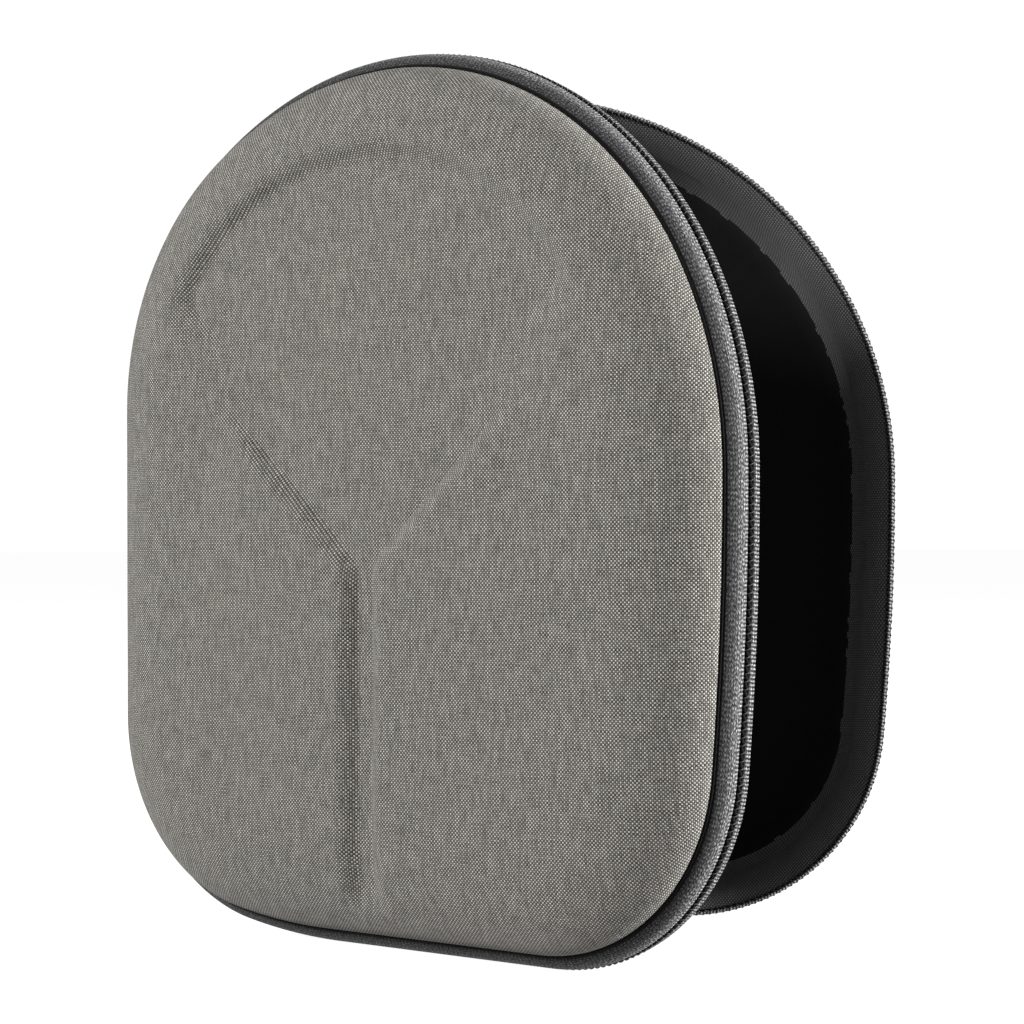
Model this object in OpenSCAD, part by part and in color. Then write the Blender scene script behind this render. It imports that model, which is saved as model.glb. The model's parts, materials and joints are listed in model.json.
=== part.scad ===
// Semi-hard clamshell carrying case for over-ear headphones, standing on its
// rims like a part-open book. The back half stays put; the front half swings
// on a fabric hinge down the left side. +Z up, the front half faces -Y.

/* [Outline of the rim, seen from the front] */
// Radius of the right-hand quarter of the top arch
arch_r = 114.5; // [112:0.5:118]
// Angle from the top to which the shoulder on the hinge side runs
shoulder_deg = 33; // [30:1:36]
// Radius of the shoulder on the hinge side
shoulder_r = 122; // [118:1:126]
// Radius of the arch below that shoulder
arch_left_r = 90; // [88:1:93]
// Radius of the slightly bowed right-hand side
side_r = 835; // [700:5:1000]
// How far the right-hand side leans in by its foot, degrees
side_lean = 5.3; // [4.6:0.1:5.8]
// Radius of the lower right corner
corner_r = 59; // [56:1:62]
// Radius of the lower left corner
corner_left_r = 58.7; // [56:0.1:62]
// How far the flat bottom edge reaches past the middle to the hinge side
bottom_flat = 24; // [20:1:28]
// Radius of the slight bow in the bottom edge on the hinge side
bottom_r = 200; // [180:10:260]

/* [Shells] */
// Depth of the front half from closing plane to face
front_d = 24; // [22:0.5:28]
// Depth of the back half from closing plane to its flat back
back_d = 34; // [28:0.5:40]
// How far in the rounded side wall of the front half runs before its face is flat
front_wall_in = 27.4; // [25:0.2:29]
// The same for the back half, whose side wall is steeper
back_wall_in = 12.6; // [11:0.2:16]
// Thickness of the outer fabric
cover_t = 0.7; // [0.5:0.1:1]
// Thickness of the moulded foam
core_t = 3.0; // [2.6:0.1:3.4]
// Thickness of the lining cloth
lining_t = 0.5; // [0.4:0.1:0.7]
// Depth of the embossed panel in the front face
emboss_d = 2.9; // [1:0.1:3.2]

/* [Rim and zip] */
// How far the groove between tape and cover sits in from the rim's outline
groove_in = 4.0; // [3.8:0.1:4.2]
// How far the groove sits back from the closing plane
groove_d = 10.5; // [10.3:0.1:10.7]
// Gap from each rim to the closing plane
rim_gap = 0.3; // [0.2:0.05:0.35]

/* [Hinge] */
// Distance from the straight left side out to the hinge line
hinge_out = 2.5; // [2.4:0.1:3]
// Angle to which the case stands open at rest
open_deg = 34.4; // [0:0.1:90]
// Top of the fabric hinge strip
spine_top = 146; // [140:1:147]
// Bottom of the fabric hinge strip
spine_bot = 104; // [103:1:110]

/* [Slider] */
// Length of the zip slider's body
slider_l = 12; // [10:0.5:12]
// Width of its outer plate
slider_w = 8.4; // [8:0.1:8.6]
// Top of the slider's body where it is parked
slider_z = 88; // [87:0.5:88]
// Length of the pull tab, from its pivot
tab_l = 18; // [16:1:18]

/* [Hidden] */

// right-hand side of the outline, measured down from the top
x_side = arch_r - side_r * (1 - cos(side_lean));
z_side = arch_r + side_r * sin(side_lean);
case_h = z_side + corner_r * (1 - sin(side_lean));
x_foot = x_side - corner_r * cos(side_lean);
// hinge side
x_left = shoulder_r * sin(shoulder_deg) + arch_left_r * (1 - sin(shoulder_deg));
z_left = shoulder_r * (1 - cos(shoulder_deg)) + arch_left_r * cos(shoulder_deg);
straight_top = case_h - z_left;
// lower left corner: its end angle is where the bottom bow starts
bow_deg = asin((x_left - corner_left_r - bottom_flat) / (bottom_r - corner_left_r));
straight_bot = bottom_r * (1 - cos(bow_deg)) + corner_left_r * cos(bow_deg);
hinge_x = -x_left - hinge_out;

// one arc of the outline as [x, z, nx, nz]: centre, radius, and angles
// measured clockwise from straight up, leaving out the first point
function arc_pts(cx, cz, r, a0, a1, n) =
    [for (i = [1:n]) let (a = a0 + (a1 - a0) * i / n) [cx + r * sin(a), cz + r * cos(a), sin(a), cos(a)]];

// the rim's outline, clockwise from the top of the hinge strip
loop = concat(
    [[-x_left, spine_top, -1, 0], [-x_left, straight_top, -1, 0]],
    arc_pts(-x_left + arch_left_r, straight_top, arch_left_r, -90, -shoulder_deg, 7),
    arc_pts(0, case_h - shoulder_r, shoulder_r, -shoulder_deg, 0, 4),
    arc_pts(0, case_h - arch_r, arch_r, 0, 90, 11),
    arc_pts(arch_r - side_r, case_h - arch_r, side_r, 90, 90 + side_lean, 3),
    arc_pts(x_foot, corner_r, corner_r, 90 + side_lean, 180, 9),
    [[x_foot / 2, 0, 0, -1], [0, 0, 0, -1], [-bottom_flat, 0, 0, -1]],
    arc_pts(-bottom_flat, bottom_r, bottom_r, 180, 180 + bow_deg, 3),
    arc_pts(-x_left + corner_left_r, straight_bot, corner_left_r, 180 + bow_deg, 270, 9),
    [[-x_left, slider_z + 0.2, -1, 0], [-x_left, spine_bot, -1, 0]]);
n_loop = len(loop);
i_corner = n_loop - 4;   // where the front tape ends, just round the corner
i_stop = n_loop - 2;     // where the back coil ends
i_spine = n_loop - 1;    // foot of the hinge strip

// a point of the outline moved in by a and back from the closing plane by d
function at(i, a, d) = let (p = loop[i % n_loop]) [p[0] - p[2] * a, -d, p[1] - p[3] * a];

// rounded side wall: quarter ellipse k inside the outer surface, [inset, depth];
// w is how far in it runs
function wall(depth, w, k, a0, n) =
    [for (j = [0:n]) let (a = a0 + (90 - a0) * j / n)
        [groove_in + w - (w - k) * cos(a), groove_d + (depth - groove_d - k) * sin(a)]];

// profiles from the rim to the face, as [inset, depth]
function tape_out() = [[0.6, rim_gap], [0.45, 1.5], [0.45, 2.9], [0, 3.6], [0.15, 5.6], [0.8, 8.0], [2.2, groove_d - 0.7], [groove_in, groove_d]];
function tape_in() = [[groove_in, groove_d - 0.85], [2.6, groove_d - 1.6], [1.7, 7.6], [1.1, 5.5], [1.0, 3.2], [1.1, 1.9], [1.5, rim_gap]];
function core_rim() = [[1.1, 2.4], [1.04, 3.2], [1.14, 5.5], [1.74, 7.6], [2.64, groove_d - 1.64], [groove_in, groove_d - 0.89], [groove_in, groove_d]];
function core_out(depth, w) = concat(core_rim(), wall(depth, w, cover_t, 0, 6));
function core_in(depth, w) = concat([[1.7, 2.4], [3.9, 4.2], [5.4, 6.6]], wall(depth, w, cover_t + core_t, 8, 6));
function lining_in(depth, w) = concat([[2.1, 2.1], [4.2, 3.8], [5.85, 6.35]], wall(depth, w, cover_t + core_t + lining_t, 8, 6));

// where the middle of the standing case's footprint lies in the outline's own frame
reach = max([for (q = concat(tape_out(), wall(front_d, front_wall_in, 0, 0, 6)))
    (arch_r - q[0] - hinge_x) * sin(open_deg) + q[1] * cos(open_deg)]);
frame_x = (arch_r - x_left - 5.4) / 2;
frame_y = (back_d - reach) / 2;

// closed shell between two profiles, open towards the closing plane
module shell(outer, inner) {
    no = len(outer); ni = len(inner); n = n_loop;
    b = no * n; c = (no + ni) * n;
    pts = concat([for (q = outer) for (i = [0:n - 1]) at(i, q[0], q[1])],
                 [for (q = inner) for (i = [0:n - 1]) at(i, q[0], q[1])],
                 [[0, -outer[no - 1][1], 120], [0, -inner[ni - 1][1], 120]]);
    polyhedron(points = pts, faces = concat(
        [for (j = [0:no - 2]) for (i = [0:n - 1]) let (k = (i + 1) % n) [j * n + i, j * n + k, (j + 1) * n + k, (j + 1) * n + i]],
        [for (j = [0:ni - 2]) for (i = [0:n - 1]) let (k = (i + 1) % n) [b + j * n + i, b + (j + 1) * n + i, b + (j + 1) * n + k, b + j * n + k]],
        [for (i = [0:n - 1]) let (k = (i + 1) % n) [k, i, b + i, b + k]],
        [for (i = [0:n - 1]) let (k = (i + 1) % n) [(no - 1) * n + i, (no - 1) * n + k, c]],
        [for (i = [0:n - 1]) let (k = (i + 1) % n) [b + (ni - 1) * n + k, b + (ni - 1) * n + i, c + 1]]), convexity = 6);
}

// section carried along the outline from point i0 to point i1; its ends are
// closed across between its two sides, which meet at point number half
module run(sec, i0, i1, half = 2) {
    m = len(sec); n = i1 - i0 + 1; e = (n - 1) * m;
    pts = [for (i = [i0:i1]) for (q = sec) at(i, q[0], q[1])];
    polyhedron(points = pts, faces = concat(
        [for (i = [0:n - 2]) for (s = [0:m - 1]) let (t = (s + 1) % m) [i * m + s, (i + 1) * m + s, (i + 1) * m + t, i * m + t]],
        [for (j = [0:half - 2]) [j, j + 1, m - 2 - j]],
        [for (j = [0:half - 2]) if (m - 2 - j > j) [j, m - 2 - j, m - 1 - j]],
        [for (j = [0:half - 2]) [e + j + 1, e + j, e + m - 2 - j]],
        [for (j = [0:half - 2]) if (m - 2 - j > j) [e + m - 2 - j, e + j, e + m - 1 - j]],
        m == 2 * half ? [] : [[half - 1, half, half + 1], [e + half, e + half - 1, e + half + 1]]), convexity = 4);
}

// embossed panel seen from the front, grown by g: round head, throat and stem
module panel(g) {
    polygon(concat([for (i = [0:18]) [(75 + g) * cos(i * 10), 149 + (63 + g) * sin(i * 10)]],
        [[-49 - g, 143 - g / 2], [-3.5 - g, 103.5], [-3.5 - g, 31 - g], [3.5 + g, 31 - g], [3.5 + g, 103.5], [49 + g, 143 - g / 2]]));
}
// prism of that panel between two depths from the closing plane
module panel_block(g, d0, d1) { translate([0, -d0, 0]) rotate([90, 0, 0]) linear_extrude(d1 - d0) panel(g); }

// one layer of the front half, with the embossed panel pressed in
module pressed(outer, inner, k0, k1) {
    difference() {
        union() {
            shell(outer, inner);
            panel_block(k1, front_d - k1 - emboss_d, front_d - k1 + 0.2);
        }
        panel_block(k0, front_d - k0 - emboss_d, front_d + 1);
    }
}

// room for the slider where the front rim ends below the hinge
module slider_room() { translate([-x_left - 4, -7.6, loop[i_corner][1]]) cube([16, 9, spine_bot - loop[i_corner][1]]); }

// places the front half at its rest angle, and the back half facing it
module front_place() {
    translate([-frame_x, -frame_y, 0]) translate([hinge_x, 0, 0]) rotate([0, 0, -open_deg]) translate([-hinge_x, 0, 0]) children();
}
module back_place() { translate([-frame_x, -frame_y, 0]) mirror([0, 1, 0]) children(); }
module slider_place() { translate([-frame_x, -frame_y, 0]) children(); }

coil_sec = [[1.5, rim_gap], [1.12, 1.9], [3.1, 1.9], [3.1, rim_gap]];
stitch_sec = [[0.43, 1.6], [0.12, 1.8], [0.12, 2.7], [0.43, 2.85]];
seam_sec = [[3.45, groove_d + 0.0], [3.3, groove_d + 0.35], [3.92, groove_d + 0.5], [3.95, groove_d + 0.03]];
spine_out_sec = [[-2.3, 0.35], [-1.6, 1.6], [-0.5, 3.4], [0.15, 5.6], [0.8, 8.0], [2.2, groove_d - 0.7], [groove_in, groove_d],
                 [groove_in, groove_d - 0.85], [2.6, groove_d - 1.6], [1.7, 7.6], [1.1, 5.5], [0.5, 3.2], [-0.4, 1.7], [-1.2, 0.4]];
spine_in_sec = [[-0.9, 0.4], [-0.7, 0.9], [0.15, 2.0], [0.95, 2.3], [2.1, 2.05], [4.2, 3.73], [5.8, 6.15], [6.2, 5.9], [4.6, 3.4], [2.4, 1.5], [0.5, 1.45]];

module front_cover() color([0.44, 0.43, 0.40]) front_place()
    pressed(wall(front_d, front_wall_in, 0, 0, 6), wall(front_d, front_wall_in, cover_t, 0, 6), 0, cover_t);
module front_core() color([0.16, 0.16, 0.17]) front_place() difference() {
    pressed(core_out(front_d, front_wall_in), core_in(front_d, front_wall_in), cover_t, cover_t + core_t);
    slider_room();
}
module front_lining() color([0.12, 0.12, 0.13]) front_place() difference() {
    pressed(core_in(front_d, front_wall_in), lining_in(front_d, front_wall_in), cover_t + core_t, cover_t + core_t + lining_t);
    slider_room();
}
module front_zip_tape() color([0.27, 0.27, 0.28]) front_place() run(concat(tape_out(), tape_in()), 0, i_corner, 7);
module front_coil() color([0.36, 0.36, 0.37]) front_place() run(coil_sec, 1, i_corner);
module front_chain_stitch() color([0.10, 0.10, 0.10]) front_place() run(stitch_sec, 1, i_corner);
module front_seam_thread() color([0.05, 0.05, 0.05]) front_place() run(seam_sec, 0, i_corner);

module back_cover() color([0.44, 0.43, 0.40]) back_place()
    shell(wall(back_d, back_wall_in, 0, 0, 6), wall(back_d, back_wall_in, cover_t, 0, 6));
module back_core() color([0.16, 0.16, 0.17]) back_place() shell(core_out(back_d, back_wall_in), core_in(back_d, back_wall_in));
module back_lining() color([0.12, 0.12, 0.13]) back_place() shell(core_in(back_d, back_wall_in), lining_in(back_d, back_wall_in));
module back_zip_tape() color([0.27, 0.27, 0.28]) back_place() run(concat(tape_out(), tape_in()), 0, i_spine, 7);
module back_coil() color([0.36, 0.36, 0.37]) back_place() run(coil_sec, 1, i_stop);
module back_chain_stitch() color([0.10, 0.10, 0.10]) back_place() run(stitch_sec, 1, i_stop);
module back_seam_thread() color([0.05, 0.05, 0.05]) back_place() run(seam_sec, 0, i_spine);

// straight run of a section up the left side between two heights
module straight_run(sec, z0, z1) {
    translate([-x_left, 0, z0]) linear_extrude(z1 - z0) polygon([for (q = sec) [q[0], -q[1]]]);
}
module spine_outer_front() color([0.26, 0.26, 0.27]) front_place() straight_run(spine_out_sec, spine_bot + 0.2, spine_top - 0.2);
module spine_outer_back() color([0.26, 0.26, 0.27]) back_place() straight_run(spine_out_sec, spine_bot + 0.2, spine_top - 0.2);
module spine_inner_front() color([0.12, 0.12, 0.13]) front_place() straight_run(spine_in_sec, spine_bot + 0.2, spine_top - 0.2);
module spine_inner_back() color([0.12, 0.12, 0.13]) back_place() straight_run(spine_in_sec, spine_bot + 0.2, spine_top - 0.2);

// end stops, crimped over the ends of the chain
stop_sec = [[1.58, rim_gap], [1.22, 2.0], [3.4, 2.0], [3.4, rim_gap]];
module front_top_stop() color([0.30, 0.30, 0.31]) front_place() straight_run(stop_sec, spine_top + 0.2, straight_top - 0.2);
module back_top_stop() color([0.30, 0.30, 0.31]) back_place() straight_run(stop_sec, spine_top + 0.2, straight_top - 0.2);
module bottom_stop() color([0.30, 0.30, 0.31]) back_place() straight_run(stop_sec, slider_z + 0.3, slider_z + 3.3);

// slider: outer plate over the tape, inner plate behind the coil, joined by the post
pin_x = -x_left - 3.9;
pin_z = slider_z - 4;
module slider_body() color([0.20, 0.20, 0.21]) slider_place() {
    z0 = slider_z - slider_l;
    translate([-x_left - 2.0, 0, z0]) rotate([0, 90, 0]) rotate([0, 0, 90]) linear_extrude(1.3) plate_2d(slider_w, slider_l);
    translate([-x_left + 3.4, 0, z0]) rotate([0, 90, 0]) rotate([0, 0, 90]) linear_extrude(1.2) plate_2d(4.8, slider_l);
    translate([-x_left - 1.0, -1.0, z0 + 1.2]) cube([4.8, 0.9, 3.2]);
}
// plate outline, waisted towards its narrow end
module plate_2d(w, l) { mirror([0, 1]) mirror([0, 1]) polygon([[-w * 0.42, 0], [w * 0.42, 0], [w / 2, l * 0.3], [w / 2, l * 0.55], [w * 0.36, l - 1], [w * 0.28, l], [-w * 0.28, l], [-w * 0.36, l - 1], [-w / 2, l * 0.55], [-w / 2, l * 0.3]]); }
module slider_bridge() color([0.22, 0.22, 0.23]) slider_place() difference() {
    union() {
        translate([-x_left - 2.5, -2.9, pin_z - 3]) cube([0.5, 5.8, 6]);
        for (s = [-1, 1]) translate([-x_left - 2.0, s * 2.35, 0]) rotate([90, 0, 0])
            translate([0, 0, -0.55]) linear_extrude(1.1) union() {
                translate([-1.9, pin_z - 1.5]) square([1.9, 3]);
                translate([-1.9, pin_z]) circle(r = 1.5, $fn = 32);
                translate([-1.0, pin_z - 3.0]) square([1.0, 6]);
            }
    }
    translate([pin_x, 0, pin_z]) rotate([90, 0, 0]) cylinder(r = 0.62, h = 8, center = true, $fn = 32);
}
module slider_pin() color([0.45, 0.45, 0.46]) slider_place()
    translate([pin_x, 0, pin_z]) rotate([90, 0, 0]) cylinder(r = 0.62, h = 5.8, center = true, $fn = 32);
module pull_tab() color([0.20, 0.20, 0.21]) slider_place() difference() {
    union() {
        translate([pin_x, 0, pin_z]) rotate([90, 0, 0]) cylinder(r = 1.25, h = 3.4, center = true, $fn = 32);
        translate([pin_x - 0.6, -1.7, pin_z - 6]) cube([1.2, 3.4, 6]);
        translate([pin_x - 0.6, 0, 0]) rotate([0, 90, 0]) linear_extrude(1.2)
            polygon([[-(pin_z - 5), -1.7], [-(pin_z - 8), -3.2], [-(pin_z - tab_l + 2), -3.4], [-(pin_z - tab_l), -2.2],
                     [-(pin_z - tab_l), 2.2], [-(pin_z - tab_l + 2), 3.4], [-(pin_z - 8), 3.2], [-(pin_z - 5), 1.7]]);
    }
    translate([pin_x, 0, pin_z]) rotate([90, 0, 0]) cylinder(r = 0.68, h = 8, center = true, $fn = 32);
    translate([pin_x, 0, pin_z - tab_l + 4.5]) rotate([0, 90, 0]) cylinder(r = 1.5, h = 4, center = true, $fn = 32);
}

front_cover();
front_core();
front_lining();
front_zip_tape();
front_coil();
front_chain_stitch();
front_seam_thread();
back_cover();
back_core();
back_lining();
back_zip_tape();
back_coil();
back_chain_stitch();
back_seam_thread();
spine_outer_front();
spine_outer_back();
spine_inner_front();
spine_inner_back();
front_top_stop();
back_top_stop();
bottom_stop();
slider_body();
slider_bridge();
slider_pin();
pull_tab();
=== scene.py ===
import bpy, bmesh, math, json
import numpy as np
from mathutils import Vector, Matrix


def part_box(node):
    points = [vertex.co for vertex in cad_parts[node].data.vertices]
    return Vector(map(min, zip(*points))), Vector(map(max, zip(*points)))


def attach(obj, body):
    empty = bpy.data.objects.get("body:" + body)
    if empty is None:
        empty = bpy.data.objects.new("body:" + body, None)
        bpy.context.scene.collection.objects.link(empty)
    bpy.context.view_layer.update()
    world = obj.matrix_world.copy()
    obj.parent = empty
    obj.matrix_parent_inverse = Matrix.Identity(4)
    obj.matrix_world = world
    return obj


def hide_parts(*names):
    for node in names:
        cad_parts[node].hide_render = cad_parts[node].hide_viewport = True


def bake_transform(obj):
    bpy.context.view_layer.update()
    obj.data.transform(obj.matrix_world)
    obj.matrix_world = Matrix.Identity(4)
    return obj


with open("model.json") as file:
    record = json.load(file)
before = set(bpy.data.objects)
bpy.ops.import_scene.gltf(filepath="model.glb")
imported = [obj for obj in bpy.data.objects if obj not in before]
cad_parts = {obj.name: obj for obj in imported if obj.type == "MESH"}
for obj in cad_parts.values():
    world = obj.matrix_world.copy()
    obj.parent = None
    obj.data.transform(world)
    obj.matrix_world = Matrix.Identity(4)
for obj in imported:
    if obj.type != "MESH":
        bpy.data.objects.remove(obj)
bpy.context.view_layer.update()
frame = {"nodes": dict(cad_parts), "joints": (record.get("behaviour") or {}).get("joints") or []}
scene = bpy.context.scene
rng = np.random.default_rng(7)

# ---------------------------------------------------------------- frame, in mm
lid = next(j for j in frame["joints"] if j["name"] == "lid_hinge")
HX, HY = lid["pos_m"][0] * 1000, lid["pos_m"][1] * 1000
OPEN = math.radians(-lid["range_deg"][0])
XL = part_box("back_zip_tape")[0].x * 1000
SLIDER_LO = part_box("slider_body")[0].z * 1000
SLIDER_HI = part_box("slider_body")[1].z * 1000
SPINE_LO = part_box("spine_outer_back")[0].z * 1000 - 0.2
SPINE_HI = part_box("spine_outer_back")[1].z * 1000 + 0.2
BACK_D = (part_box("back_cover")[1].y - HY / 1000) * 1000

# rim outline in its own frame: apex at x 0, foot at z 0
AR, SR, SA, AL = 114.5, 122.0, 33.0, 90.0
SIDE, LEAN, CR, CL, FLAT, BR = 835.0, 5.3, 59.0, 58.7, 24.0, 200.0
rad = math.radians
x_side = AR - SIDE * (1 - math.cos(rad(LEAN)))
z_side = AR + SIDE * math.sin(rad(LEAN))
H = z_side + CR * (1 - math.sin(rad(LEAN)))
x_foot = x_side - CR * math.cos(rad(LEAN))
x_left = SR * math.sin(rad(SA)) + AL * (1 - math.sin(rad(SA)))
z_left = SR * (1 - math.cos(rad(SA))) + AL * math.cos(rad(SA))
top_z = H - z_left
bow = math.degrees(math.asin((x_left - CL - FLAT) / (BR - CL)))
bot_z = BR * (1 - math.cos(rad(bow))) + CL * math.cos(rad(bow))
FX = -x_left - XL
HXO = HX + FX


def _outline():
    px, pz, nx, nz = [], [], [], []

    def line(x0, z0, x1, z1, n):
        k = max(2, int(math.hypot(x1 - x0, z1 - z0) / 0.2))
        t = np.arange(k) / k
        px.append(x0 + (x1 - x0) * t); pz.append(z0 + (z1 - z0) * t)
        nx.append(np.full(k, n[0])); nz.append(np.full(k, n[1]))

    def arc(cx, cz, r, a0, a1):
        k = max(8, int(abs(rad(a1 - a0)) * r / 0.2))
        a = np.radians(a0 + (a1 - a0) * np.arange(k) / k)
        px.append(cx + r * np.sin(a)); pz.append(cz + r * np.cos(a))
        nx.append(np.sin(a)); nz.append(np.cos(a))

    line(-x_left, SPINE_HI, -x_left, top_z, (-1, 0))
    arc(-x_left + AL, top_z, AL, -90, -SA)
    arc(0, H - SR, SR, -SA, 0)
    arc(0, H - AR, AR, 0, 90)
    arc(AR - SIDE, H - AR, SIDE, 90, 90 + LEAN)
    arc(x_foot, CR, CR, 90 + LEAN, 180)
    line(x_foot, 0, -FLAT, 0, (0, -1))
    arc(-FLAT, BR, BR, 180, 180 + bow)
    arc(-x_left + CL, bot_z, CL, 180 + bow, 270)
    line(-x_left, bot_z, -x_left, SPINE_HI, (-1, 0))
    px, pz, nx, nz = map(np.concatenate, (px, pz, nx, nz))
    px = np.append(px, px[0]); pz = np.append(pz, pz[0])
    nx = np.append(nx, nx[0]); nz = np.append(nz, nz[0])
    s = np.concatenate([[0], np.cumsum(np.hypot(np.diff(px), np.diff(pz)))])
    return s, px, pz, nx, nz


_S, _PX, _PZ, _NX, _NZ = _outline()
LEN = float(_S[-1])


def outline(s):
    s = np.mod(s, LEN)
    n = np.stack([np.interp(s, _S, _NX), np.interp(s, _S, _NZ)], -1)
    n /= np.linalg.norm(n, axis=-1, keepdims=True)
    return np.stack([np.interp(s, _S, _PX), np.interp(s, _S, _PZ)], -1), n


def place(front, x, d, z, share=1.0):
    """Closed-case coordinates (x, depth from the closing plane, z), mm, to the row frame in metres, at rest."""
    x, d, z = np.broadcast_arrays(np.asarray(x, float), np.asarray(d, float), np.asarray(z, float))
    if front:
        a = OPEN * share
        dx, dy = x - HXO, -d
        c, s = np.cos(a), np.sin(a)
        p = np.stack([HX + dx * c + dy * s, HY - dx * s + dy * c, z], -1)
    else:
        p = np.stack([x - FX, HY + d, z], -1)
    return p * 0.001


def smooth(t):
    t = np.clip(t, 0, 1)
    return t * t * (3 - 2 * t)


# ------------------------------------------------------------- materials
class Nodes:
    def __init__(self, name):
        self.m = bpy.data.materials.new(name)
        self.m.use_nodes = True
        self.t = self.m.node_tree
        self.t.nodes.clear()
        self.out = self.t.nodes.new("ShaderNodeOutputMaterial")
        self.b = self.t.nodes.new("ShaderNodeBsdfPrincipled")
        self.t.links.new(self.b.outputs[0], self.out.inputs[0])

    def put(self, sock, v):
        if isinstance(v, bpy.types.NodeSocket):
            self.t.links.new(v, sock)
        elif v is not None:
            sock.default_value = v

    def math(self, op, a, b=None, c=None, clamp=False):
        n = self.t.nodes.new("ShaderNodeMath")
        n.operation = op
        n.use_clamp = clamp
        for i, v in enumerate((a, b, c)):
            if v is not None:
                self.put(n.inputs[i], v)
        return n.outputs[0]

    def uv(self):
        n = self.t.nodes.new("ShaderNodeUVMap")
        n.uv_map = "UVMap"
        s = self.t.nodes.new("ShaderNodeSeparateXYZ")
        self.t.links.new(n.outputs[0], s.inputs[0])
        return s.outputs[0], s.outputs[1]

    def xyz(self, x, y, z=0.0):
        n = self.t.nodes.new("ShaderNodeCombineXYZ")
        for i, v in enumerate((x, y, z)):
            self.put(n.inputs[i], v)
        return n.outputs[0]

    def noise(self, vec, scale, detail=2.0, rough=0.5):
        n = self.t.nodes.new("ShaderNodeTexNoise")
        self.put(n.inputs["Vector"], vec)
        n.inputs["Scale"].default_value = scale
        n.inputs["Detail"].default_value = detail
        n.inputs["Roughness"].default_value = rough
        return n.outputs[0]

    def white(self, vec):
        n = self.t.nodes.new("ShaderNodeTexWhiteNoise")
        n.noise_dimensions = "3D"
        self.put(n.inputs["Vector"], vec)
        return n.outputs[0]

    def mix(self, f, a, b):
        n = self.t.nodes.new("ShaderNodeMix")
        n.data_type = "RGBA"
        self.put(n.inputs[0], f)
        self.put(n.inputs[6], a)
        self.put(n.inputs[7], b)
        return n.outputs[2]

    def scale(self, col, f):
        n = self.t.nodes.new("ShaderNodeVectorMath")
        n.operation = "SCALE"
        self.put(n.inputs[0], col)
        self.put(n.inputs["Scale"], f)
        return n.outputs[0]

    def ramp(self, f, stops):
        n = self.t.nodes.new("ShaderNodeValToRGB")
        self.put(n.inputs[0], f)
        e = n.color_ramp.elements
        while len(e) > 1:
            e.remove(e[-1])
        e[0].position, e[0].color = stops[0][0], (*stops[0][1], 1)
        for p, c in stops[1:]:
            x = e.new(p)
            x.color = (*c, 1)
        return n.outputs[0]

    def step(self, v, lo, hi):
        n = self.t.nodes.new("ShaderNodeMapRange")
        n.interpolation_type = "SMOOTHSTEP"
        self.put(n.inputs[0], v)
        n.inputs[1].default_value, n.inputs[2].default_value = lo, hi
        return n.outputs[0]

    def bump(self, height, strength, dist):
        n = self.t.nodes.new("ShaderNodeBump")
        n.inputs["Strength"].default_value = strength
        n.inputs["Distance"].default_value = dist
        self.put(n.inputs["Height"], height)
        self.t.links.new(n.outputs[0], self.b.inputs["Normal"])
        return n

    def set(self, **kw):
        for k, v in kw.items():
            self.b.inputs[k.replace("_", " ")].default_value = v


def rgb(r, g, b):
    return (r, g, b, 1.0)


def weave(n, u, v, pu, pv):
    """Plain weave: returns (warp on top 0..1, dome height 0..1, per-thread tones of warp and weft)."""
    a = n.math("DIVIDE", u, pu)
    b = n.math("DIVIDE", v, pv)
    sa = n.math("SINE", n.math("MULTIPLY", a, math.pi))
    sb = n.math("SINE", n.math("MULTIPLY", b, math.pi))
    p = n.math("MULTIPLY", sa, sb)
    over = n.math("MULTIPLY_ADD", p, 2.2, 0.5, clamp=True)
    dome = n.math("POWER", n.math("ABSOLUTE", p), 0.7)
    fa, fb = n.math("FLOOR", a), n.math("FLOOR", b)
    tone_a = n.noise(n.xyz(n.math("MULTIPLY", fa, 3.71), n.math("MULTIPLY", b, 0.10), 3.0), 1.0, 1.0)
    tone_b = n.noise(n.xyz(n.math("MULTIPLY", a, 0.10), n.math("MULTIPLY", fb, 4.13), 9.0), 1.0, 1.0)
    return over, dome, tone_a, tone_b


def melange():
    n = Nodes("shell_fabric")
    u, v = n.uv()
    over, dome, ta, tb = weave(n, u, v, 0.56, 0.54)
    fleck = n.noise(n.xyz(n.math("MULTIPLY", u, 1.3), n.math("MULTIPLY", v, 1.3)), 1.0, 2.0, 0.7)
    ta2 = n.step(n.math("ADD", ta, n.math("MULTIPLY_ADD", fleck, 0.4, -0.2)), 0.18, 0.82)
    tb2 = n.step(n.math("ADD", tb, n.math("MULTIPLY_ADD", fleck, 0.4, -0.2)), 0.18, 0.82)
    warp = n.mix(ta2, rgb(*SHELL_WARP_LO), rgb(*SHELL_WARP_HI))
    weft = n.mix(tb2, rgb(*SHELL_WEFT_LO), rgb(*SHELL_WEFT_HI))
    col = n.mix(over, weft, warp)
    # painted shade: the base colour falls to near black in the gaps between threads, following the dome height
    shade = n.math("MULTIPLY_ADD", dome, 1.0, 0.04)
    n.put(n.b.inputs["Base Color"], n.scale(col, shade))
    n.set(Roughness=0.85, Specular_IOR_Level=0.18, Sheen_Weight=0.25, Sheen_Roughness=0.5)
    n.b.inputs["Sheen Tint"].default_value = rgb(0.9, 0.88, 0.84)
    n.bump(dome, 0.75, 0.00016)
    return n.m


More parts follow.
